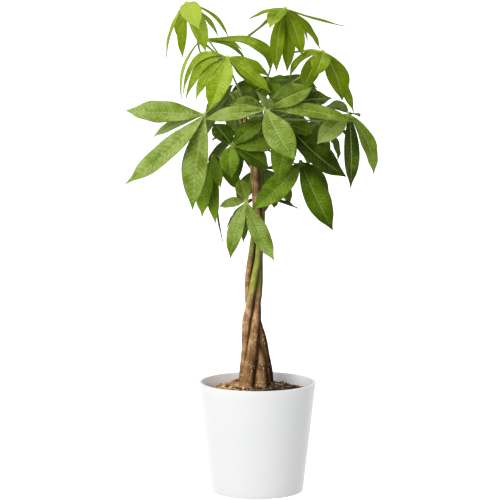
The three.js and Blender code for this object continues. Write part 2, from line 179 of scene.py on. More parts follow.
def pick(piece, kind, test):  # selects the faces or edges that pass the test and stays in edit mode
    editing({"polygons": "FACE", "edges": "EDGE"}[kind])
    mesh = piece.data
    for item in getattr(mesh, kind):
        if kind == "polygons":
            item.select = test(item.normal)
        else:
            item.select = test(*(mesh.vertices[v].co for v in item.vertices))
    bpy.ops.object.mode_set(mode="EDIT")


def pickAll():
    editing("VERT")
    bpy.ops.object.mode_set(mode="EDIT")
    bpy.ops.mesh.select_all(action="SELECT")


def settle(piece):  # leaves the place in the mesh and the object at the origin
    if piece.mode == "EDIT":
        bpy.ops.object.mode_set(mode="OBJECT")
    bpy.ops.object.select_all(action="DESELECT")
    piece.select_set(True)
    bpy.context.view_layer.objects.active = piece
    bpy.ops.object.transform_apply(location=True, rotation=True, scale=True)


def newest(name):  # the primitive just added
    made = bpy.context.object
    made.name = made.data.name = name
    settle(made)
    return made


def smooth(piece, angle):
    settle(piece)
    bpy.ops.object.shade_smooth_by_angle(angle=math.radians(angle))


def joined(pieces, name):
    bpy.ops.object.select_all(action="DESELECT")
    for piece in pieces:
        piece.select_set(True)
    bpy.context.view_layer.objects.active = pieces[0]
    bpy.ops.object.join()
    pieces[0].name = pieces[0].data.name = name
    return pieces[0]


def copyOf(master, name):
    made = bpy.data.objects.new(name, master.data.copy())
    scene.collection.objects.link(made)
    return made


def putAway(piece):
    mesh = piece.data
    bpy.data.objects.remove(piece)
    bpy.data.meshes.remove(mesh)


def mark(piece, name, values):  # numbers on the points, one value for all or one for each
    if isinstance(values, float):
        values = [values] * len(piece.data.vertices)
    layer = piece.data.attributes.new(name, "FLOAT", "POINT")
    layer.data.foreach_set("value", values)


def between(low, high, value):  # 0 at low, 1 at high, smooth between
    share = min(max((value - low) / (high - low), 0.0), 1.0)
    return share * share * (3 - 2 * share)


def bell(gap):
    return math.exp(-gap * gap)


def finished(piece, material, slot, *nodes):
    if material is not None:
        piece.data.materials.clear()
        piece.data.materials.append(material)
    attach(piece, "root")
    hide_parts(*nodes)


# floor, and the sky's light
floorFinish, wire = newFinish("studioFloor")
grain = wire.node("ShaderNodeTexNoise", {}, {"Scale": 3.0, "Detail": 2.0})
pale = grain.blend([studio["floorDull"] * part for part in studio["floor"]], studio["floor"])
wire.close(wire.skin({"Base Color": pale, "Roughness": 0.9, "Specular IOR Level": 0.1,
                      "Emission Color": (1, 1, 1, 1), "Emission Strength": studio["floorGlow"]}))
bpy.ops.mesh.primitive_plane_add(size=studio["floorSize"])
ground = bpy.context.object
ground.name = "studioFloor"
ground.data.materials.append(floorFinish)
ground.visible_diffuse = False  # the pale floor shows, but throws no glare up into the leaves
ground.visible_transmission = False
sky = Wire(scene.world.node_tree)
toward = sky.node("ShaderNodeTexCoord")
haze = toward.axis(2).ease(-0.35, 0.25).blend(studio["ground"], studio["sky"])
strength = toward.axis(0).ease(-1.0, 1.0, studio["left"], studio["right"]) * studio["worldStrength"]
behind = sky.node("ShaderNodeBackground", {}, {"Color": haze, "Strength": strength})
sky.node("ShaderNodeOutputWorld", {}, {"Surface": behind})

# pot
pot = {
    "height": 0.142, "topRadius": 0.0755, "footRadius": 0.059, "wall": 0.004, "floor": 0.005, "sides": 160,
    "rimRound": 0.0011, "footRound": 0.0016, "innerRound": 0.004, "footRing": 0.006, "recess": 0.0012,
    "inset": 0.0001, "rows": 14, "waver": 0.00005, "waverScale": 22, "near": 0.0001,
    "glaze": (0.945, 0.95, 0.96), "shade": (0.92, 0.93, 0.945), "speck": (0.6, 0.56, 0.5),
    "stainAndShade": (0.52, 0.44, 0.36), "stainAndShadeShare": 0.6, "stainAndShadeFrom": 0.124, "stainAndShadeTo": 0.1315,
}


def potRadius(height):
    return pot["footRadius"] + (pot["topRadius"] - pot["footRadius"]) * height / pot["height"]


def bevel(piece, width, segments=4):
    bpy.ops.mesh.bevel(offset=width, segments=segments, profile=0.5, affect="EDGES")
    settle(piece)


def makePot():
    top, foot, near = pot["height"], pot["floor"], pot["near"]
    rim = pot["topRadius"] - pot["inset"]
    bpy.ops.mesh.primitive_cone_add(vertices=pot["sides"], radius1=pot["footRadius"], radius2=rim,
                                    depth=top, location=(0, 0, top / 2))
    made = newest("whitePot")
    pick(made, "polygons", lambda normal: normal.z > 0.9)
    bpy.ops.mesh.inset(thickness=pot["wall"], depth=0)
    bpy.ops.mesh.extrude_region_move(TRANSFORM_OT_translate={"value": (0, 0, foot - top)})
    shrink = (potRadius(foot) - pot["wall"]) / (pot["topRadius"] - pot["wall"])
    bpy.ops.transform.resize(value=(shrink, shrink, 1), center_override=(0, 0, foot))
    settle(made)
    pick(made, "polygons", lambda normal: normal.z < -0.9)  # the underside, for its foot ring
    bpy.ops.mesh.inset(thickness=pot["footRing"], depth=0)
    bpy.ops.mesh.extrude_region_move(TRANSFORM_OT_translate={"value": (0, 0, pot["recess"])})
    settle(made)
    pick(made, "edges", lambda a, b: min(a.z, b.z) > top - near)
    bevel(made, pot["rimRound"])
    outer = pot["footRadius"] - near
    pick(made, "edges", lambda a, b: max(a.z, b.z) < near and min(a.xy.length, b.xy.length) > outer)
    bevel(made, pot["footRound"])
    pick(made, "edges", lambda a, b: abs(a.z - foot) < near and abs(b.z - foot) < near)
    bevel(made, pot["innerRound"], 3)
    pick(made, "edges", lambda a, b: abs(a.z - b.z) > top / 2)  # rows round the wall, for its waver
    bpy.ops.mesh.subdivide(number_cuts=pot["rows"])
    settle(made)
    for point in made.data.vertices:
        out = Vector((point.co.x, point.co.y, 0))
        if out.length > pot["footRadius"] / 2:
            uneven = 1 + noise.noise(point.co * pot["waverScale"])
            point.co -= out.normalized() * (pot["waver"] * uneven)
    smooth(made, 35)
    return made


def potGlaze():
    material, wire = newFinish("whiteGlaze")
    place = wire.here()
    cloud = wire.noise(place, 14.0, 3.0)
    peel = wire.noise(place, 420.0, 2.0)
    speck = wire.cells(place, 160.0).ease(0.05, 0.09, 1.0, 0.0) * cloud.ease(0.55, 0.7)
    height = place.axis(2)
    away = wire.node("ShaderNodeVectorMath", {"operation": "LENGTH"}, {0: place.times((1, 1, 0))}, 1)
    taper = (pot["topRadius"] - pot["footRadius"]) / pot["height"]
    depth = away - height * taper - (pot["footRadius"] - pot["wall"] / 2)  # 0 in the middle of the wall
    inside = depth.ease(-0.0008, 0.0008, 1.0, 0.0) * height.ease(0.136, 0.132)
    # a stain on the inner wall near the soil, made darker to paint the shade on that wall
    darkLow = (height + (cloud - 0.5) * 0.008).ease(pot["stainAndShadeFrom"], pot["stainAndShadeTo"], 1.0, 0.0) * inside
    colour = cloud.ease(0.3, 0.7).blend(pot["shade"], pot["glaze"])
    colour = (darkLow * pot["stainAndShadeShare"]).blend(colour, pot["stainAndShade"])
    colour = (speck * 0.25).blend(colour, pot["speck"])
    rough = cloud.ease(0.25, 0.75, 0.30, 0.40) + darkLow * 0.3 + (peel - 0.5) * 0.06
    bump = wire.bump(peel + cloud * 0.6, 0.12, 0.0004)
    wire.close(wire.skin({"Base Color": colour, "Roughness": rough, "Normal": bump, "IOR": 1.5}))
    return material


finished(makePot(), potGlaze(), "pot", "pot")
print("pot made")

# each stem's line from foot to tip: height, x, y and radius in mm
stems = [
    {"node": "stem_1", "name": "greenStem", "slot": "bark_green", "toneAndShade": (1.0, 1.0, 1.0),
     "green": (242, 270), "ripe": 318, "line": [
         (95, -16, 9, 8.4), (128, -15.5, 8.5, 8.4), (149, -15, 6.2, 7.7), (175, -14.4, 1, 6.6),
         (201, -14.2, -3, 5.9), (220, -14.2, -6.5, 5.5), (234, -11.5, -8.5, 5.1), (254, -8.2, -9, 4.6),
         (280, -3.2, -7.5, 4.5), (306, 1.3, -5, 4.2), (337, 2, -3.5, 4), (374, 0, -3, 3.8),
         (420, -3, -3, 3.4), (465, -12, -4, 3.1), (502, -20, -4, 2.6)]},
    {"node": "stem_2", "name": "frontStem", "slot": "bark", "toneAndShade": (1.03, 0.99, 0.95),
     "green": (246, 272), "line": [
         (95, -13.5, -9, 9), (128, -14, -9, 9), (149, -12.5, -10.5, 8.4), (175, -7.5, -10.5, 7.2),
         (201, -4.5, -9, 6.2), (220, -2.5, -6.5, 5.6), (234, -1.5, -4, 5.1), (254, 1.2, -0.5, 4.8),
         (280, 2.6, 1.2, 4.5), (306, 3, 3, 4.2), (337, 5.5, 4, 3.9), (374, 6.5, 5, 3.6),
         (420, 4, 5, 3.3), (460, 3, 4, 3), (495, 5, 2, 2.5)]},
    {"node": "stem_3", "name": "middleStem", "slot": "bark", "toneAndShade": (1.12, 1.10, 1.08),
     "green": (284, 324), "ripe": 352, "line": [
         (95, 4.5, -10, 9.4), (128, 4.5, -9.5, 9.2), (149, 5, -6.5, 8), (175, 3.5, -1.5, 6.8),
         (201, 0, 4.5, 5.8), (220, -5.5, 8, 5.4), (234, -9.2, 6.5, 5), (254, -11.4, 1.5, 4.6),
         (280, -11.2, -0.5, 4.5), (306, -7.6, 0, 4.3), (337, -4, 3, 4), (374, -3, 5.5, 3.7),
         (420, -7, 6, 3.4), (460, -17, 8, 3), (488, -24, 11, 2.5)]},
    # this back stem's dark tone is painted shade, as it stands behind the others
    {"node": "stem_4", "name": "backStem", "slot": "bark", "toneAndShade": (0.5, 0.45, 0.4),
     "green": (380, 440), "line": [
         (95, 11, 10, 8.5), (128, 11, 9.5, 8.5), (149, 11.5, 7.5, 7.8), (175, 9.2, 2, 6.7),
         (201, 5.2, -2, 5.7), (220, 0.2, 1.5, 5.2), (234, 0, 5, 4.9), (254, -1, 8, 4.6),
         (280, -2.5, 8, 4.4), (306, -1, 9, 4.2), (337, 1, 11, 4), (374, 2, 13, 3.7),
         (420, 4, 14, 3.3), (455, 7, 16, 3), (482, 8, 20, 2.5)]},
]


def stemAt(stem, height):  # centre and radius of a stem at a height, in mm
    line = stem["line"]
    k = 0
    while k < len(line) - 2 and line[k + 1][0] < height:
        k += 1
    start, end = line[k], line[k + 1]
    before, after = line[max(k - 1, 0)], line[min(k + 2, len(line) - 1)]
    rise = end[0] - start[0]
    t = min(max((height - start[0]) / rise, 0.0), 1.0)
    keep, slopeIn, slopeOut = (1 + 2 * t) * (1 - t) ** 2, t * (1 - t) ** 2, t * t * (t - 1)
    found = []
    for axis in (1, 2, 3):
        first = (end[axis] - before[axis]) / (end[0] - before[0])
        last = (after[axis] - start[axis]) / (after[0] - start[0])
        ends = keep * start[axis] + (1 - keep) * end[axis]
        found.append(ends + rise * (slopeIn * first + slopeOut * last))
    return Vector((found[0], found[1], height)), found[2]


# soil, in mm; a heap is left, back, width and rise
soil = {
    "edge": 126.0, "mound": 13.0, "moundRadius": 46.0, "rings": 46, "sectors": 150, "sink": 0.6,
    "floorGap": 0.3, "footGap": 0.9, "wallGap": 0.4, "crumbScale": 0.22, "crumbRise": 1.1, "calmEdge": 6,
    "heaps": ((-30, 0, 17, 3.2), (-23, 4, 10, 3.4), (30, 6, 15, 2.0)),
    "dark": (0.026, 0.014, 0.007), "earth": (0.11, 0.062, 0.030), "dust": (0.26, 0.165, 0.085),
}
chips = {
    "count": 760, "strands": 170, "seed": 11, "mix": (4, 2, 7, 6), "scale": (0.4, 0.95),
    "leftScale": 1.3, "rimScale": 0.6, "side": 12, "rimGap": 5, "rimBand": 8, "stemGap": 0.5, "sparse": 0.6,
    "strandLift": 0.7, "lift": (-0.4, 1.3), "deep": (0.085, 0.040, 0.015), "warm": (0.55, 0.305, 0.110),
    "pale": (0.78, 0.57, 0.32),
}


def soilTop(x, y):  # height of the mound in mm
    lumps = 1.4 * math.sin(x * 0.31 + 1) * math.cos(y * 0.27) + 0.8 * math.sin(x * 0.12 - y * 0.2)
    heaps = sum(rise * bell(math.hypot(x - left, y - back) / wide)
                for left, back, wide, rise in soil["heaps"])
    return soil["edge"] + soil["mound"] * bell(math.hypot(x, y) / soil["moundRadius"]) + lumps + heaps


def makeSoil():
    low, high = pot["floor"] / mm + soil["floorGap"], soil["edge"]
    footRadius = (potRadius(pot["floor"]) - pot["wall"]) / mm - soil["footGap"]
    topRadius = (potRadius(high * mm) - pot["wall"]) / mm - soil["wallGap"]
    bpy.ops.mesh.primitive_cone_add(vertices=soil["sectors"], radius1=footRadius * mm, radius2=topRadius * mm,
                                    depth=(high - low) * mm, location=(0, 0, (high + low) / 2 * mm))
    made = newest("pottingSoil")
    pick(made, "polygons", lambda normal: normal.z > 0.9)
    for _ in range(soil["rings"]):
        bpy.ops.mesh.inset(thickness=topRadius * mm / (soil["rings"] + 1), depth=0)
    bpy.ops.mesh.poke()
    settle(made)
    for point in made.data.vertices:
        if point.co.z > (high - 0.5) * mm:
            x, y = point.co.x / mm, point.co.y / mm
            crumbs = soil["crumbRise"] * noise.fractal(Vector((x, y, 0)) * soil["crumbScale"], 0.8, 2.1, 4)
            calm = between(topRadius, topRadius - soil["calmEdge"], math.hypot(x, y))
            point.co.z = (soilTop(x, y) + crumbs * (0.35 + 0.65 * calm) - soil["sink"]) * mm
    smooth(made, 60)
    return made


def soilEarth():
    material, wire = newFinish("soilEarth")
    place = wire.here()
    patch = wire.noise(place, 45.0, 6.0, 0.65)
    grit = wire.cells(place, 620.0)
    dust = wire.noise(place, 900.0, 3.0)
    colour = patch.ease(0.32, 0.68).blend(soil["dark"], soil["earth"])
    colour = (dust.ease(0.55, 0.75) * 0.7).blend(colour, soil["dust"])
    colour = (grit.ease(0.0, 0.5, 1.0, 0.0) * 0.5).blend(colour, soil["dark"])
    bump = wire.bump(patch + grit * 0.4 + dust * 0.3, 0.9, 0.0012)
    rough = dust.ease(0.3, 0.7, 0.8, 0.98)
    wire.close(wire.skin({"Base Color": colour, "Roughness": rough, "Normal": bump}))
    return material


def drift(place):  # a push each way; noise_vector would start from the clock
    return Vector([noise.noise(place + Vector((0, shift, 0))) for shift in (0.0, 31.4, 57.8)])


def chipShape(name, size, cuts, rough, taper, seed):  # one flake of bark about the origin, size in mm
    bpy.ops.mesh.primitive_cube_add(size=1)
    made = newest(name)
    pickAll()
    bpy.ops.mesh.subdivide(number_cuts=cuts, smoothness=0.35)
    bpy.ops.transform.resize(value=tuple(side * mm for side in size), center_override=(0, 0, 0))
    settle(made)
    for point in made.data.vertices:
        along = point.co.x / (size[0] * mm)
        point.co.y *= 1 - taper * (along + 0.5)
        point.co.z += 0.35 * size[2] * mm * (1 - 4 * along * along)  # a curl along the flake
        push = drift(point.co / mm * 0.55 + Vector((seed * 9.1, 0, 0)))
        point.co += push * rough * mm
    smooth(made, 40)
    return made


def strandShape(name, length, radius, bow, seed):  # one coir fibre, lying along X, in mm
    bpy.ops.mesh.primitive_cylinder_add(vertices=5, radius=radius * mm, depth=length * mm,
                                        rotation=(0, math.pi / 2, 0))
    made = newest(name)
    pick(made, "edges", lambda a, b: abs(a.x - b.x) > 0.5 * length * mm)
    bpy.ops.mesh.subdivide(number_cuts=8)
    settle(made)
    for point in made.data.vertices:
        along = point.co.x / (length * mm)
        waver = drift(Vector((along * 3 + seed, seed, 0)))
        point.co += Vector((0, bow * (1 - 4 * along * along), 0)) * mm + waver * 1.6 * mm
    smooth(made, 60)
    return made


def scatterChips():
    rng = random.Random(chips["seed"])
    flakes = [
        chipShape("flake", (9, 3.6, 1.5), 2, 0.9, 0.35, 1),
        chipShape("chunk", (5.0, 3.6, 2.6), 2, 1.1, 0.2, 2),
        chipShape("splinter", (13, 2.0, 1.1), 2, 0.7, 0.6, 3),
        chipShape("crumb", (3.2, 2.4, 1.9), 1, 0.8, 0.1, 4),
    ]
    strands = [strandShape("strandA", 16, 0.32, 3.0, 1), strandShape("strandB", 11, 0.26, -2.0, 5)]
    rim = potRadius(0.128) / mm - chips["rimGap"]
    centres = [stemAt(stem, 140) for stem in stems]
    up = Vector((0, 0, 1))
    pieces = []
    while len(pieces) < chips["count"] + chips["strands"]:
        angle, reach = 2 * math.pi * rng.random(), rim * math.sqrt(rng.random())
        x, y = reach * math.cos(angle), reach * math.sin(angle)
        if any(math.hypot(x - c.x, y - c.y) < radius + chips["stemGap"] for c, radius in centres):
            continue
        fibre = len(pieces) >= chips["count"]
        if fibre and x > chips["side"] and rng.random() < chips["sparse"]:  # less coir lies on the right
            continue
        shape = rng.choice(strands) if fibre else rng.choices(flakes, chips["mix"])[0]
        scale = rng.uniform(*chips["scale"])
        scale *= chips["leftScale"] if x < -chips["side"] else 1.0
        scale *= chips["rimScale"] if reach > rim - chips["rimBand"] else 1.0
        made = copyOf(shape, "chip")
        slopeX = (soilTop(x + 2, y) - soilTop(x - 2, y)) / 4
        slopeY = (soilTop(x, y + 2) - soilTop(x, y - 2)) / 4
        lean = up.rotation_difference(Vector((-slopeX, -slopeY, 1))).to_matrix().to_4x4()
        turn = Matrix.Rotation(2 * math.pi * rng.random(), 4, "Z")
        tilt = Matrix.Rotation(rng.gauss(0, 0.22), 4, "Y") @ Matrix.Rotation(rng.gauss(0, 0.3), 4, "X")
        lift = soilTop(x, y) + (chips["strandLift"] if fibre else rng.uniform(*chips["lift"]))
        spot = Matrix.Translation(Vector((x, y, lift)) * mm)
        made.data.transform(spot @ lean @ turn @ tilt @ Matrix.Scale(scale, 4))
        warm = between(20, -30, x) * 0.5  # warmer chips on the left
        mark(made, "shade", min(max(rng.gauss(0.25 + warm, 0.2), 0.0), 1.0))
        mark(made, "seed", rng.random())
        pieces.append(made)
    for shape in flakes + strands:
        putAway(shape)
    return joined(pieces, "barkChips")


def chipWood():
    material, wire = newFinish("chipWood")
    shift = wire.node("ShaderNodeVectorMath", {"operation": "ADD"}, {0: wire.here(), 1: wire.marked("seed")})
    fibre = wire.node("ShaderNodeMapping", {}, {
        "Vector": shift, "Rotation": (0.3, 0.2, 0.7), "Scale": (140, 900, 900)})
    grain = wire.noise(fibre, 1.0, 4.0)
    mottle = wire.noise(shift, 240.0, 3.0)
    tone = wire.marked("shade") + (grain - 0.5) * 0.5 + (mottle - 0.5) * 0.4
    stops = [(0.05, soil["dark"]), (0.3, chips["deep"]), (0.72, chips["warm"]), (1.0, chips["pale"])]
    colour = wire.node("ShaderNodeValToRGB", {"stops": stops}, {"Fac": tone})
    bump = wire.bump(grain + mottle * 0.5, 0.7, 0.0006)
    rough = grain.ease(0.3, 0.7, 0.7, 0.92)
    wire.close(wire.skin({"Base Color": colour, "Roughness": rough, "Normal": bump}))
    return material


finished(makeSoil(), soilEarth(), "soil", "soil")
finished(scatterChips(), chipWood(), "soil", "soil")
print("soil and bark chips made")

# stems; each has a side painted lit and a side painted in shade, and they grow darker towards the foot
bark = {
    "sides": 56, "rings": 330, "bulge": 0.45, "crack": 0.924, "fine": 0.22,
    "flare": 1.3, "flareZ": (184, 130), "scarLift": 0.5, "scarFrom": 168, "scarEvery": (15, 34),
    "scarTurn": 2.4, "scarWide": 0.62, "scarTall": 1.5, "scarReach": 6, "ringBelow": 1.6,
    "footDarkZ": (202, 158), "lowShareZ": (300, 240), "tipShare": 0.985, "far": 9.0, "gapShadeReach": (4.6, 0.2),
    "scar": (0.17, 0.095, 0.04), "lichen": (0.60, 0.47, 0.29), "footDark": (0.58, 0.55, 0.50),
    "groove": (0.090, 0.034, 0.006), "spot": (0.70, 0.52, 0.33), "girth": 0.007,
    # the last colours here paint light on one side of each stem and shade on the other
    "paintedLit": (1.95, 1.90, 1.95), "paintedShaded": (0.20, 0.135, 0.07), "paintedLitAngle": 0.95,
}


def tube(name, sides, rings):  # a closed cylinder with rings of points, to be led along a line
    bpy.ops.mesh.primitive_cylinder_add(vertices=sides, radius=1, depth=1, location=(0, 0, 0.5))
    made = newest(name)
    pick(made, "edges", lambda a, b: abs(a.z - b.z) > 0.5)
    bpy.ops.mesh.subdivide(number_cuts=rings - 1)
    settle(made)
    pick(made, "polygons", lambda normal: abs(normal.z) > 0.9)
    bpy.ops.mesh.inset(thickness=0.45, depth=0)
    bpy.ops.mesh.poke()
    settle(made)
    return made


def lead(made, lineAt, shape):  # leads a tube along lineAt(share), shaped by shape(share, angle)
    frames = {}
    for point in made.data.vertices:
        share, angle, out = point.co.z, math.atan2(point.co.y, point.co.x), point.co.xy.length
        key = round(share, 5)
        if key not in frames:
            frames[key] = lineAt(share)
        centre, side, top, radius = frames[key]
        reach = out * radius + (shape(share, angle) if out > 0.9 else 0.0)
        point.co = (centre + side * (reach * math.cos(angle)) + top * (reach * math.sin(angle))) * mm


def makeStem(stem, number):
    rng = random.Random(40 + number)
    low, high = stem["line"][0][0], stem["line"][-1][0]
    made = tube(stem["name"], bark["sides"], bark["rings"])
    scars = []  # height, facing and size of each leaf scar
    height = bark["scarFrom"] + 20 * rng.random()
    facing = 6 * rng.random()
    while height < high - 8:
        scars.append((height, facing, rng.uniform(0.75, 1.15)))
        height += rng.uniform(*bark["scarEvery"])
        facing += bark["scarTurn"] + rng.uniform(-0.4, 0.4)
    rest = [other for other in stems if other is not stem]

    def lineAt(share):
        level = low + (high - low) * share
        centre, radius = stemAt(stem, level)
        along = (stemAt(stem, level + 1)[0] - stemAt(stem, level - 1)[0]).normalized()
        side = (Vector((1, 0, 0)) - along * along.x).normalized()
        tip = bark["tipShare"]
        if share > tip:
            radius *= math.sqrt(max(1 - ((share - tip) / (1 - tip)) ** 2, 0.05))
        return centre, side, along.cross(side), radius

    def scarAt(level, angle):
        deepest = 0.0
        for at, facing, size in scars:
            if abs(level - at) < bark["scarReach"]:
                turn = math.atan2(math.sin(angle - facing), math.cos(angle - facing))
                climb = (level - at + 0.8 * turn * turn) / (bark["scarTall"] * size)
                deepest = max(deepest, bell(math.hypot(turn / bark["scarWide"], climb)))
        return deepest

    def ringAt(level):
        near = [at for at, _, _ in scars if abs(level - at) < bark["scarReach"]]
        return sum(bell(level - at + bark["ringBelow"]) for at in near)

    def shape(share, angle):
        level = low + (high - low) * share
        out = Vector((math.cos(angle), math.sin(angle), 0))
        youth = between(stem["green"][0] - 30, stem["green"][1], level)
        bulge = bark["bulge"] * noise.noise(out * 1.1 + Vector((number * 7, 0, level * 0.035)))
        crack = noise.noise(out * 5.5 + Vector((0, number * 5, level * 0.055)))
        fine = noise.noise(out * 9 + Vector((3, number * 3, level * 0.16)))
        rough = bark["fine"] * fine - bark["crack"] * max(crack - 0.05, 0)
        scar = bark["scarLift"] * (scarAt(level, angle) + 0.35 * ringAt(level))
        return bulge + rough * (1 - 0.8 * youth) + scar + bark["flare"] * between(*bark["flareZ"], level)

    raw = [(point.co.z, math.atan2(point.co.y, point.co.x)) for point in made.data.vertices]
    lead(made, lineAt, shape)
    groove, green, scar, wear = [], [], [], []
    for point, (share, angle) in zip(made.data.vertices, raw):
        level = low + (high - low) * share
        place = point.co / mm
        near = bark["far"]
        for other in rest:
            centre, radius = stemAt(other, min(max(place.z, other["line"][0][0]), other["line"][-1][0]))
            near = min(near, math.hypot(place.x - centre.x, place.y - centre.y) - radius)
        # painted shade: bark close to another stem is marked for darkening, in the gaps where shade falls
        groove.append(between(*bark["gapShadeReach"], near))
        blotch = level + 9 * noise.noise(place * 0.12) + 4 * noise.noise(place * 0.4)
        ripe = between(0, 25, blotch - stem.get("ripe", 900))
        green.append(between(*stem["green"], blotch) * (1 - ripe))
        scar.append(min(scarAt(level, angle) + 0.4 * ringAt(level), 1.0))
        darkLow, lowShare = between(*bark["footDarkZ"], level), between(*bark["lowShareZ"], level)
        for toneAndShade, footDark in zip(stem["toneAndShade"], bark["footDark"]):  # its own tone low down, painted shade on the back stem, and darker towards the foot
            wear.append((1 + (footDark - 1) * darkLow) * (1 + (toneAndShade - 1) * lowShare))
    mark(made, "groove", groove)
    mark(made, "green", green)
    mark(made, "scar", scar)
    made.data.attributes.new("wear", "FLOAT_VECTOR", "POINT").data.foreach_set("vector", wear)
    layer = made.data.uv_layers[0].data  # the map holds the angle in turns and the height in metres
    for face in made.data.polygons:
        turns = [raw[v][1] / (2 * math.pi) + 0.5 for v in face.vertices]
        for loop, corner, turn in zip(face.loop_indices, face.vertices, turns):
            turn += 1.0 if max(turns) - turn > 0.5 else 0.0
            layer[loop].uv = (turn, (low + (high - low) * raw[corner][0]) * mm)
    smooth(made, 60)
    return made


def stemBark(name, look):
    material, wire = newFinish(name)
    place = wire.here()
    unrolled = wire.node("ShaderNodeUVMap", {"uv_map": "UVMap"})
    turn, along = unrolled.axis(0) * (2 * math.pi), unrolled.axis(1)
    east, north = wire.sum("COSINE", turn) * bark["girth"], wire.sum("SINE", turn) * bark["girth"]
    fibre = wire.node("ShaderNodeCombineXYZ", {}, {0: east, 1: north, 2: along * 0.10})
    rind = wire.node("ShaderNodeCombineXYZ", {}, {0: east, 1: north, 2: along * 0.6})
    height = place.axis(2)
    groove, green, scar = wire.marked("groove"), wire.marked("green"), wire.marked("scar")
    streak = wire.noise(fibre, 700.0, 5.0, 0.62)
    patch = wire.noise(place, 70.0, 5.0, 0.6)
    fleck = wire.noise(place, 900.0, 2.0)
    pores = wire.cells(rind, 400.0)
    spot = pores.ease(0.20, 0.44, 1.0, 0.0) * wire.noise(rind, 95.0, 2.0).ease(0.43, 0.56)
    spot = spot * height.ease(0.17, 0.28, 1.0, 0.15)
    # painted light: each stem is lighter on the side toward the lamp and darker on the side away from it
    paintedLitSide = wire.sum("COSINE", turn - bark["paintedLitAngle"]).ease(-0.15, 1.0)
    paintedLitSide = paintedLitSide + wire.sum("SINE", turn).ease(0.0, -0.6) * 0.45  # the far side is painted neither lit nor in shade
    colour = (streak * 0.55 + patch * 0.55).ease(0.42, 0.68).blend(look["dark"], look["brown"])
    worn = patch.ease(0.48, 0.70) * look["paleShare"] * height.ease(0.14, 0.24, 0.55, 1.0)
    colour = worn.blend(colour, look["pale"])
    colour = (fleck.ease(0.58, 0.72) * 0.45).blend(colour, bark["lichen"])
    skin = patch.ease(0.35, 0.7).blend(look["green"], look["leafGreen"])
    skin = (streak.ease(0.56, 0.72) * 0.35).blend(skin, look["pale"])
    colour = green.blend(colour, skin)
    colour = (scar * 0.6).blend(colour, bark["scar"])
    colour = colour.times(paintedLitSide.blend(bark["paintedShaded"], bark["paintedLit"]))
    # the low bark's own tone, with painted shade on the back stem, darker towards the foot
    colour = colour.times(wire.node("ShaderNodeAttribute", {"attribute_name": "wear"}))
    # the pale spots show mostly on the painted lit side
    colour = (spot * paintedLitSide.ease(0.0, 1.0, 0.45, 0.9)).blend(colour, bark["spot"])
    # painted shade in the gaps between the stems
    colour = (groove ** 1.3 * 0.90).blend(colour, bark["groove"])
    relief = streak * 0.7 + spot * 0.35 + fleck * 0.2 + (pores * (1 - green)) * 0.15
    rough = 0.86 - green * 0.36 + (streak - 0.5) * 0.18  # green bark is smoother
    wire.close(wire.skin({"Base Color": colour, "Roughness": rough, "Specular IOR Level": 0.12,
                          "Normal": wire.bump(relief, 0.65, 0.0007)}))
    return material


brownLook = {
    "dark": (0.115, 0.058, 0.020), "brown": (0.310, 0.190, 0.078), "pale": (0.50, 0.345, 0.19),
    "paleShare": 0.7, "green": (0.085, 0.100, 0.009), "leafGreen": (0.15, 0.17, 0.022),
}
greenLook = {
    "dark": (0.13, 0.062, 0.024), "brown": (0.36, 0.215, 0.095), "pale": (0.58, 0.42, 0.22),
    "paleShare": 0.8, "green": (0.140, 0.175, 0.016), "leafGreen": (0.26, 0.30, 0.045),
}
finishes = {"bark": stemBark("brownBark", brownLook), "bark_green": stemBark("greenBark", greenLook)}
for number, stem in enumerate(stems):
    finished(makeStem(stem, number), finishes[stem["slot"]], stem["slot"], stem["node"])
print("four stems braided")

# leaves
leaf = {
    "across": (0, 0.05, 0.13, 0.30, 0.52, 0.77, 1.0),  # columns from the midrib to the edge
    "veins": 18, "rowsPerVein": 4, "slant": 0.12, "thick": 0.45, "fold": 0.34, "recurve": 0.16, "twist": 0.12,
    "pleat": 0.009, "wave": 0.035, "waves": (1.6, 3.2), "tipSlim": 0.4, "rootHalf": 0.85, "tipHalf": 0.22,
    "ribGroove": 0.35, "ribDepth": 0.75, "ribWide": 0.8, "rootSink": 1.6, "stalk": 1.15, "stalkSwell": 0.75,
    "hub": 2.7, "hubFlat": 0.72, "hubFurrow": 0.06, "sky": (-0.40, -0.45, 0.80),
    # the tones carry some painted light and shade: leaflets are made darker or paler than their own green to
    # match how they lie in the light
    "tones": {"dim": 0.1, "low": 0.3, "even": 0.5, "light": 0.7, "pale": 1.0},
}


def finger(tip, width, arch, **own):  # one leaflet in mm; own holds its sway, lean, roll in degrees, or tone
    return {"tip": tip, "width": width, "arch": arch, "sway": 0, "lean": 0, "roll": 0, **own}


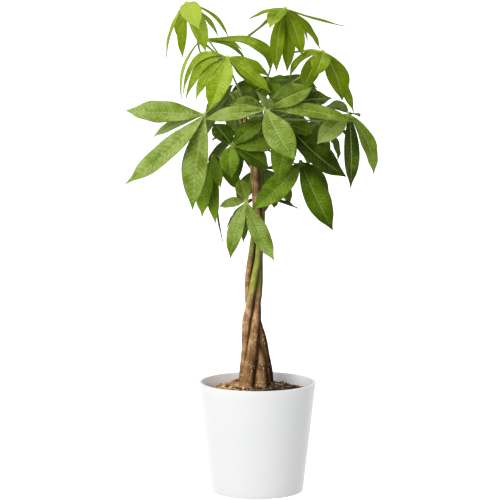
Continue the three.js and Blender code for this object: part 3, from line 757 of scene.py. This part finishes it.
# each leaf: the stem and height that it grows from, its hub and facing, and its leaflets, in mm
fronds = [
    {"node": "leaf_a", "kind": "young", "stem": 1, "height": 497, "tone": "pale",
     "hub": (-90, -10, 627), "face": (-0.3, -0.4, 0.85), "leaflets": [
         finger((-116, 14, 556), 14, 0.07),
         finger((-94, -24, 558), 15, 0.06, tone="even"),
         finger((-65, -34, 566), 21, 0.2, sway=-0.05),
         finger((-50, 28, 583), 17, 0.06),
         finger((-37, 44, 581), 16, 0.1),
         finger((-73, -62, 596), 27, 0.14),
         finger((-98, 50, 574), 14, 0.1),
     ]},
    {"node": "leaf_b", "kind": "young", "stem": 1, "height": 489, "tone": "light",
     "hub": (-38, -45, 561), "face": (-0.1, -0.5, 0.85), "leaflets": [
         finger((-94, -30, 512), 17, 0.32, lean=-0.13),
         finger((-90, -52, 508), 18, 0.24, lean=-0.1, tone="even"),
         finger((-77, -72, 509), 16, 0.15),
         finger((-60, -98, 498), 32, 0.08, sway=-0.05),
         finger((-2, -48, 523), 21, 0.06, tone="even"),
         finger((16, -88, 519), 19, 0.03, tone="low"),
         finger((15, -54, 536), 20, 0.08, tone="low"),
     ]},
    {"node": "leaf_c", "kind": "young", "stem": 3, "height": 487, "tone": "even",
     "hub": (-75, 16, 577), "face": (0.1, -0.3, 0.94), "leaflets": [
         finger((-97, 14, 504), 14, 0.1, sway=0.06, roll=50, tone="pale"),
         finger((-18, -4, 567), 21, 0.1, tone="pale"),
         finger((16, -14, 539), 33, 0.26, lean=0.19),
         finger((-13, 24, 550), 24, 0.16),
         finger((-45, 44, 536), 20, 0.12),
     ]},
    {"node": "leaf_d", "kind": "young", "stem": 2, "height": 491, "tone": "low",
     "hub": (35, -5, 620), "face": (0, -0.35, 0.95), "leaflets": [
         finger((-12, 14, 605), 14, 0.04),
         finger((-17, 32, 577), 28, 0.01, sway=-0.04, tone="dim"),
         finger((15, -56, 597), 23, 0.1, tone="even"),
         finger((24, -38, 541), 18, 0.07, sway=0.04),
         finger((37, -20, 540), 18, 0.06, sway=-0.03, tone="dim"),
         finger((56, -32, 561), 20, 0.08),
         finger((64, 30, 577), 14, 0.08, tone="pale"),
         finger((80, 2, 567), 20, 0.07),
         finger((113, 22, 596), 16, -0.03, roll=-25, tone="pale"),
     ]},
    {"node": "leaf_e", "kind": "young", "stem": 2, "height": 483, "tone": "low",
     "hub": (82, -25, 567), "face": (0.2, -0.4, 0.9), "leaflets": [
         finger((37, 14, 561), 12, 0.03, tone="pale"),
         finger((40, -14, 530), 18, 0.2, tone="dim"),
         finger((57, -42, 518), 24, 0.12, tone="dim"),
         finger((69, -78, 538), 24, 0.1, sway=-0.04, tone="even"),
         finger((106, -46, 506), 35, 0.1),
         finger((122, -16, 488), 27, 0.04, sway=0.02),
     ]},
    {"node": "leaf_f", "kind": "mid", "stem": 1, "height": 470, "tone": "even",
     "hub": (11, -95, 499), "face": (0, -0.78, 0.62), "leaflets": [
         finger((-65, -84, 486), 21, 0.05, sway=-0.02, tone="light"),
         finger((-37, -72, 504), 25, 0.06, tone="low"),
         finger((3, -142, 521), 26, 0.05, tone="pale"),
         finger((68, -76, 525), 33, 0.06),
         finger((93, -54, 510), 30, 0.06, tone="dim"),
         finger((119, -94, 483), 21, 0.05, sway=-0.03),
         finger((46, -130, 440), 37, 0.06, sway=0.06, tone="light"),
     ]},
    {"node": "leaf_g", "kind": "mid", "stem": 1, "height": 481, "tone": "light",
     "hub": (-66, -60, 490), "face": (-0.4, -0.7, 0.62), "leaflets": [
         finger((-165, -52, 494), 32, 0.05, sway=-0.04),
         finger((-132, -30, 459), 17, 0.03, sway=0.04, tone="pale"),
         finger((-165, -84, 405), 34, 0.03, sway=-0.07),
         finger((-81, -84, 373), 37, 0.04),
         finger((-30, -38, 526), 19, 0.05, tone="low"),
     ]},
    {"node": "leaf_h", "kind": "dark", "stem": 1, "height": 455, "tone": "light",
     "hub": (-32, -72, 452), "face": (0, -0.65, 0.75), "leaflets": [
         finger((-32, -108, 415), 25, 0.07, sway=0.06),
         finger((7, -62, 483), 27, 0.05, tone="even"),
         finger((24, -64, 451), 29, 0.05, sway=0.03),
         finger((14, -68, 424), 31, 0.06),
         finger((-55, -54, 478), 27, 0.05, tone="low"),
     ]},
    {"node": "leaf_i", "kind": "mid", "stem": 1, "height": 425, "tone": "light",
     "hub": (-14, -66, 382), "face": (0, -0.65, 0.75), "leaflets": [
         finger((-23, -58, 409), 20, 0.04),
         finger((-48, -64, 375), 17, 0.05, tone="even"),
         finger((-34, -88, 312), 20, 0.06, sway=0.03),
         finger((-18, -62, 329), 11, 0.04),
         finger((21, -90, 310), 24, 0.05, sway=0.05),
     ]},
    {"node": "leaf_j", "kind": "dark", "stem": 2, "height": 436, "tone": "even",
     "hub": (54, -52, 430), "face": (0.1, -0.7, 0.7), "leaflets": [
         finger((-7, -92, 374), 32, 0.06, sway=-0.06, tone="light"),
         finger((94, -74, 346), 35, 0.05, sway=0.04),
         finger((90, -42, 390), 18, 0.04, sway=-0.05),
     ]},
    {"node": "leaf_k", "kind": "dark", "stem": 2, "height": 455, "tone": "even",
     "hub": (38, -50, 477), "face": (0.2, -0.7, 0.7), "leaflets": [
         finger((111, -60, 412), 38, 0.06, sway=0.11, tone="dim"),
         finger((69, -54, 465), 24, 0.04),
         finger((60, -68, 436), 20, 0.05, sway=-0.05),
         finger((24, -100, 409), 32, 0.1, tone="light"),
     ]},
    {"node": "leaf_l", "kind": "mid", "stem": 2, "height": 465, "tone": "dim",
     "hub": (115, -36, 489), "face": (0.3, -0.65, 0.7), "leaflets": [
         finger((74, -62, 453), 27, 0.06, tone="light"),
         finger((116, -66, 398), 22, 0.05),
         finger((146, -48, 413), 23, 0.1, sway=-0.04, tone="even"),
         finger((127, -72, 488), 12, 0.05),
         finger((82, -6, 493), 26, 0.16),
     ]},
    {"node": "leaf_n", "kind": "dark", "stem": 3, "height": 455, "tone": "pale",
     "hub": (-56, -22, 434), "face": (-0.3, -0.55, 0.8), "leaflets": [
         finger((-70, -34, 358), 24, 0.06),
         finger((-53, -30, 349), 18, 0.05),
         finger((-44, -12, 321), 14, 0.05, roll=65, tone="even"),
         finger((-46, -60, 398), 15, 0.05),
         finger((-22, -8, 390), 22, 0.06, tone="light"),
     ]},
    {"node": "leaf_p", "kind": "dark", "stem": 2, "height": 473, "tone": "low",
     "hub": (13, -22, 530), "face": (-0.1, -0.6, 0.8), "leaflets": [
         finger((-18, -38, 515), 26, 0.05, tone="light"),
         finger((0, -52, 504), 24, 0.08),
         finger((41, -24, 531), 15, 0.04),
         finger((34, -44, 497), 24, 0.08, tone="light"),
     ]},
    {"node": "leaf_q", "kind": "dark", "stem": 3, "height": 462, "tone": "even",
     "hub": (-17, 30, 458), "face": (-0.3, 0.25, 0.9), "leaflets": [
         finger((-59, 26, 450), 25, 0.08),
         finger((-63, 62, 408), 28, 0.1),
         finger((-28, 92, 382), 28, 0.1),
         finger((6, 88, 393), 27, 0.1),
         finger((16, 60, 435), 24, 0.1),
     ]},
    {"node": "leaf_r", "kind": "mid", "stem": 4, "height": 468, "tone": "low",
     "hub": (44, 46, 490), "face": (0.3, 0.3, 0.85), "leaflets": [
         finger((104, 52, 477), 28, 0.08),
         finger((103, 88, 435), 30, 0.1),
         finger((67, 118, 405), 30, 0.1),
         finger((22, 112, 417), 28, 0.1),
         finger((6, 80, 461), 24, 0.1),
     ]},
    {"node": "leaf_s", "kind": "mid", "stem": 3, "height": 474, "tone": "light",
     "hub": (-27, 46, 511), "face": (-0.3, 0.35, 0.85), "leaflets": [
         finger((-66, 60, 491), 24, 0.08),
         finger((-66, 102, 450), 28, 0.1),
         finger((-25, 124, 439), 28, 0.1),
         finger((6, 110, 461), 27, 0.1),
         finger((14, 76, 498), 24, 0.1),
     ]},
    {"node": "leaf_t", "kind": "dark", "stem": 4, "height": 440, "tone": "light",
     "hub": (6, 48, 412), "face": (0.1, 0.35, 0.85), "leaflets": [
         finger((46, 58, 401), 25, 0.08),
         finger((43, 90, 358), 28, 0.1),
         finger((4, 104, 338), 28, 0.1),
         finger((-25, 82, 359), 25, 0.1),
     ]},
    {"node": "leaf_u", "kind": "mid", "stem": 4, "height": 477, "tone": "low",
     "hub": (23, 60, 528), "face": (0, 0.35, 0.85), "leaflets": [
         finger((-38, 80, 503), 26, 0.08),
         finger((-20, 132, 483), 28, 0.1),
         finger((34, 150, 477), 29, 0.1),
         finger((82, 120, 490), 28, 0.1),
         finger((78, 70, 514), 24, 0.08),
     ]},
    {"node": "leaf_v", "kind": "dark", "stem": 4, "height": 455, "tone": "even",
     "hub": (77, 24, 474), "face": (0.6, 0.1, 0.75), "leaflets": [
         finger((114, 44, 455), 28, 0.1),
         finger((104, 42, 423), 28, 0.1),
         finger((79, 62, 411), 28, 0.1),
         finger((53, 68, 436), 26, 0.1),
     ]},
    {"node": "leaf_w", "kind": "dark", "stem": 4, "height": 420, "tone": "low",
     "hub": (6, 34, 378), "face": (0.3, -0.1, 0.9), "leaflets": [
         finger((53, 12, 364), 24, 0.02, sway=0.08),
         finger((22, 62, 359), 20, 0.1),
         finger((-40, 44, 335), 26, 0.1),
     ]},
]


def makeBlade():  # one flat leaflet: X across from -1 to 1, Y along from 0 to 1, Z 0 on top and -1 under
    rows = leaf["veins"] * leaf["rowsPerVein"]
    columns = 2 * (len(leaf["across"]) - 1)
    bpy.ops.mesh.primitive_grid_add(x_subdivisions=columns, y_subdivisions=rows, size=2)
    made = newest("blade")
    places = [-x for x in reversed(leaf["across"][1:])] + list(leaf["across"])
    for point in made.data.vertices:
        point.co.x = places[round((point.co.x + 1) / 2 * columns)]
        point.co.y = (point.co.y + 1) / 2
    layer = made.data.uv_layers[0]
    layer.name = "leafMap"
    for loop in made.data.loops:
        place = made.data.vertices[loop.vertex_index].co
        layer.data[loop.index].uv = (place.x * 0.5 + 0.5, place.y)
    pickAll()
    bpy.ops.mesh.extrude_region_move(TRANSFORM_OT_translate={"value": (0, 0, -1)})
    bpy.ops.mesh.select_all(action="SELECT")
    bpy.ops.mesh.normals_make_consistent(inside=False)
    settle(made)
    mark(made, "under", [1.0 if point.co.z < -0.5 else 0.0 for point in made.data.vertices])
    return made


def growLeaflet(blade, frond, leaflet, number):
    rng = random.Random(number)
    hub, tip, face = Vector(frond["hub"]), Vector(leaflet["tip"]), Vector(frond["face"]).normalized()
    length, along = (tip - hub).length, (tip - hub).normalized()
    lift = (face - along * face.dot(along)).normalized()
    side = along.cross(lift).normalized()
    bow = lift * leaflet["arch"] + side * leaflet["sway"] + along * leaflet["lean"]
    bend = (hub + tip) / 2 + bow * (2 * length)
    turned = Matrix.Rotation(math.radians(leaflet["roll"]), 3, along) @ side
    width, root = leaflet["width"], leaf["rootSink"] / length
    waves, phases = rng.uniform(*leaf["waves"]), (rng.uniform(0, 6.3), rng.uniform(0, 6.3))
    wave = leaf["wave"] * width * rng.uniform(0.5, 1.1)
    twist = rng.uniform(-leaf["twist"], leaf["twist"])
    sky, sheen = Vector(leaf["sky"]).normalized(), []
    made = copyOf(blade, "leaflet")
    for point in made.data.vertices:
        u, row, under = point.co.x, point.co.y, point.co.z < -0.5
        size = abs(u)
        spread = 4 * row * (1 - row)
        t = row + leaf["slant"] * spread * size ** 1.6  # the rows curve forward as the side veins do
        t = root + (1 - root) * t
        centre = hub * (1 - t) ** 2 + bend * (2 * t * (1 - t)) + tip * t * t
        tangent = ((bend - hub) * (1 - t) + (tip - bend) * t).normalized()
        across = (turned - tangent * turned.dot(tangent)).normalized()
        normal = across.cross(tangent)
        swell = max(math.sin(math.pi * min(t, 1) ** 1.12), 0) ** 0.85
        half = width * 0.5 * swell * (1 - leaf["tipSlim"] * between(0.80, 0.98, t))
        half = max(half, leaf["rootHalf"] if t < 0.5 else leaf["tipHalf"])
        rise = half * (leaf["fold"] * size - leaf["recurve"] * size * size + u * twist * t)
        rise += wave * spread * size ** 2.2 * math.sin(waves * 2 * math.pi * row + phases[u > 0])
        vein = 0.5 + 0.5 * math.cos(2 * math.pi * leaf["veins"] * row)
        rise -= leaf["pleat"] * width * spread ** 0.5 * vein * (1 - 0.55 * size) * min(size / 0.13, 1)
        rib = bell(u * half / leaf["ribWide"])
        rise -= leaf["ribGroove"] * rib * (1 - 0.6 * t)
        if under:
            rise -= leaf["thick"] * (1 - 0.5 * size ** 4) + leaf["ribDepth"] * rib * (1 - 0.75 * t)
        point.co = (centre + across * (u * half) + normal * rise) * mm
        slope = math.copysign(leaf["fold"] - 2 * leaf["recurve"] * size, u)
        sheen.append(max((normal - across * slope).normalized().dot(sky), 0))
    mark(made, "tone", leaf["tones"][leaflet.get("tone", frond["tone"])])
    mark(made, "sheen", sheen)  # painted sheen: a half that faces up toward the light is marked for a paler, greyer colour
    return made


def growStalk(frond):  # the stalk, and the knob that its leaflets spring from
    hub, face = Vector(frond["hub"]), Vector(frond["face"]).normalized()
    foot, stemRadius = stemAt(stems[frond["stem"] - 1], frond["height"])
    reach = (hub - foot).length
    rise, arrive = foot + Vector((0, 0, 0.25 * reach)), hub - face * 0.3 * reach

    def lineAt(t):
        left = 1 - t
        centre = foot * left ** 3 + rise * (3 * t * left ** 2) + arrive * (3 * t * t * left) + hub * t ** 3
        along = (rise - foot) * left ** 2 + (arrive - rise) * (2 * t * left) + (hub - arrive) * t * t
        along = along.normalized()
        side = Vector((0, 0, 1)) - along * along.z
        side = side.normalized() if side.length > 0.05 else Vector((1, 0, 0))
        swell = 1.3 * bell(t * reach / (stemRadius + 3.5)) + 0.9 * bell((1 - t) * reach / 6)
        return centre, side, along.cross(side), leaf["stalk"] + leaf["stalkSwell"] * swell

    made = tube("stalk", 10, 22)
    lead(made, lineAt, lambda share, angle: 0.07 * math.sin(3 * angle))
    smooth(made, 60)
    bpy.ops.mesh.primitive_uv_sphere_add(segments=14, ring_count=9, radius=leaf["hub"] * mm)
    knob = bpy.context.object
    lean = Vector((0, 0, 1)).rotation_difference(face).to_matrix().to_4x4()
    for point in knob.data.vertices:  # flattened, with a furrow between the leaflets
        angle = math.atan2(point.co.y, point.co.x)
        point.co.z *= leaf["hubFlat"]
        point.co *= 1 + leaf["hubFurrow"] * math.cos(len(frond["leaflets"]) * angle)
    knob.data.transform(Matrix.Translation(hub * mm) @ lean)
    smooth(knob, 60)
    for piece, tone in ((made, 0.0), (knob, 1.0)):  # its tone tells the knob from the stalk
        piece.data.uv_layers[0].name = "leafMap"
        mark(piece, "under", 0.0)
        mark(piece, "tone", tone)
        mark(piece, "sheen", 0.0)
    return [made, knob]


youngLook = {
    "deep": (0.094, 0.160, 0.0005), "middle": (0.262, 0.385, 0.0020), "bright": (0.62, 0.78, 0.105),
    "paintedSheen": (0.64, 0.76, 0.09), "paintedSheenShare": 0.14, "back": (0.40, 0.52, 0.05), "rib": (0.66, 0.74, 0.24),
    "edge": (0.17, 0.22, 0.02), "stalk": (0.46, 0.54, 0.05), "knob": (0.62, 0.70, 0.05),
    "through": (0.74, 0.84, 0.01, 1), "share": 0.38, "gloss": 0.45, "shine": 0.04, "slot": "leaf_young",
}
midLook = {
    "deep": (0.030, 0.056, 0.0005), "middle": (0.192, 0.300, 0.0120), "bright": (0.48, 0.63, 0.170),
    "paintedSheen": (0.39, 0.48, 0.13), "paintedSheenShare": 0.23, "back": (0.17, 0.25, 0.04), "rib": (0.52, 0.62, 0.22),
    "edge": (0.075, 0.11, 0.02), "stalk": (0.26, 0.31, 0.04), "knob": (0.50, 0.58, 0.06),
    "through": (0.36, 0.52, 0.01, 1), "share": 0.14, "gloss": 0.45, "shine": 0.07, "slot": "leaf_mid",
}
# the dark kind is partly a deeper green and partly painted shade for leaves low and behind in the crown
darkLook = {
    "deep": (0.018, 0.036, 0.0003), "middle": (0.096, 0.172, 0.0030), "bright": (0.28, 0.45, 0.022),
    "paintedSheen": (0.19, 0.26, 0.070), "paintedSheenShare": 0.23, "back": (0.10, 0.16, 0.015), "rib": (0.34, 0.44, 0.10),
    "edge": (0.030, 0.05, 0.005), "stalk": (0.17, 0.20, 0.02), "knob": (0.30, 0.36, 0.03),
    "through": (0.22, 0.36, 0.005, 1), "share": 0.10, "gloss": 0.46, "shine": 0.04, "slot": "leaf_dark",
}


def leafFinish(name, look):
    material, wire = newFinish(name)
    place = wire.here()
    spread = wire.node("ShaderNodeUVMap", {"uv_map": "leafMap"})
    u, row = abs(spread.axis(0) * 2.0 - 1.0), spread.axis(1)
    under, tone, sheen = wire.marked("under"), wire.marked("tone"), wire.marked("sheen")
    cloud = wire.noise(place, 32.0, 3.0)
    mottle = wire.noise(place, 240.0, 4.0, 0.6)
    patch = wire.noise(place, 75.0, 5.0, 0.65)
    strength = wire.noise(place, 60.0, 1.0).ease(0.35, 0.62, 0.3, 1.0)
    stray = (wire.noise(place, 90.0, 1.0) - 0.5) * 0.9
    step = abs(wire.sum("FRACT", row * leaf["veins"] + stray) - 0.5) * 2.0  # 1 on a side vein, 0 midway
    ends = row.ease(0.02, 0.08) * row.ease(0.90, 0.99, 1.0, 0.0)
    vein = step.ease(0.82, 0.96) * u.ease(0.80, 1.0, 1.0, 0.25) * ends
    glint = step.ease(0.50, 0.74) * step.ease(0.74, 0.86, 1.0, 0.0) * ends
    # painted sheen: halves facing up toward the light, and patches, are made paler and greyer
    paintedSheen = ((sheen - 0.8) * 3.5 + (patch - 0.5) * 4.0 + 0.25).ease(0.0, 1.0) * (1 - under)
    pillow = step.ease(0.25, 0.9, 1.0, 0.0) * ends
    rib = u.ease(0.020, 0.070, 1.0, 0.0)
    root = row.ease(0.015, 0.07, 1.0, 0.0)
    level = tone + (cloud - 0.5) * 1.3 + (mottle - 0.5) * 0.6 + (paintedSheen - 0.4) * 0.22
    # painted shade: the pillows between the side veins are lighter and the creases at the veins darker
    level = level + (pillow - 0.5) * strength * 0.10
    stops = [(0.0, look["deep"]), (0.5, look["middle"]), (1.0, look["bright"])]
    colour = wire.node("ShaderNodeValToRGB", {"stops": stops}, {0: level})
    # the side veins on top are darkened as painted shade in their sunken creases
    for factor, key in (
            (paintedSheen * look["paintedSheenShare"], "paintedSheen"), (under * tone.ease(0.5, 1.0, 0.7, 0.35), "back"),
            (u.ease(0.92, 0.99) * 0.6, "edge"), (vein * strength * (1 - under) * 0.52, "deep"),
            (glint * strength * 0.26, "rib"), (vein * under * 0.4, "rib"),
            (rib * row.ease(0.1, 0.9, 0.8, 0.4), "rib"), (root * 0.9, "rib")):
        colour = factor.blend(colour, look[key])
    rough = look["gloss"] + (mottle - 0.5) * 0.12 + under * 0.18 + vein * 0.05
    net = wire.cells(place, 520.0, "DISTANCE_TO_EDGE").ease(0.0, 0.12)
    relief = pillow * 0.55 + net * 0.16 + mottle * 0.18 - vein * 0.3
    skin = wire.skin({"Base Color": colour, "Roughness": rough, "Specular IOR Level": look["shine"],
                      "Normal": wire.bump(relief, 0.55, 0.0006)})
    through = wire.node("ShaderNodeBsdfTranslucent", {}, {"Color": look["through"]})
    wire.close(wire.node("ShaderNodeMixShader", {}, {0: look["share"], 1: skin, 2: through}))
    return material


def stalkFinish(name, look):
    material, wire = newFinish(name)
    place = wire.here()
    cloud = wire.noise(place, 90.0, 4.0)
    dots = wire.cells(place, 900.0)
    colour = cloud.ease(0.3, 0.7).blend(look["middle"], look["stalk"])
    colour = (dots.ease(0.1, 0.25, 1.0, 0.0) * 0.35).blend(colour, look["deep"])
    colour = (wire.marked("tone") * 0.8).blend(colour, look["knob"])
    bump = wire.bump(cloud + dots * 0.3, 0.3, 0.0004)
    rough = cloud.ease(0.3, 0.7, 0.42, 0.58)
    wire.close(wire.skin({"Base Color": colour, "Roughness": rough, "Normal": bump}))
    return material


leafKinds = {
    "young": (youngLook, leafFinish("youngLeaf", youngLook), stalkFinish("youngStalk", youngLook)),
    "mid": (midLook, leafFinish("midLeaf", midLook), stalkFinish("midStalk", midLook)),
    "dark": (darkLook, leafFinish("darkLeaf", darkLook), stalkFinish("darkStalk", darkLook)),
}
blade = makeBlade()
leaflets = 0
for number, frond in enumerate(fronds):
    look, leafSkin, stalkSkin = leafKinds[frond["kind"]]
    grown = [growLeaflet(blade, frond, leaflet, 100 * number + k)
             for k, leaflet in enumerate(frond["leaflets"])]
    for piece in grown:
        smooth(piece, 50)
        piece.data.materials.append(leafSkin)
    stalk = growStalk(frond)
    for piece in stalk:
        piece.data.materials.append(stalkSkin)
    made = joined(grown + stalk, "frond" + frond["node"][-1].upper())
    finished(made, None, look["slot"], frond["node"])
    leaflets += len(grown)
putAway(blade)
print("leaves grown:", len(fronds), "with", leaflets, "leaflets")
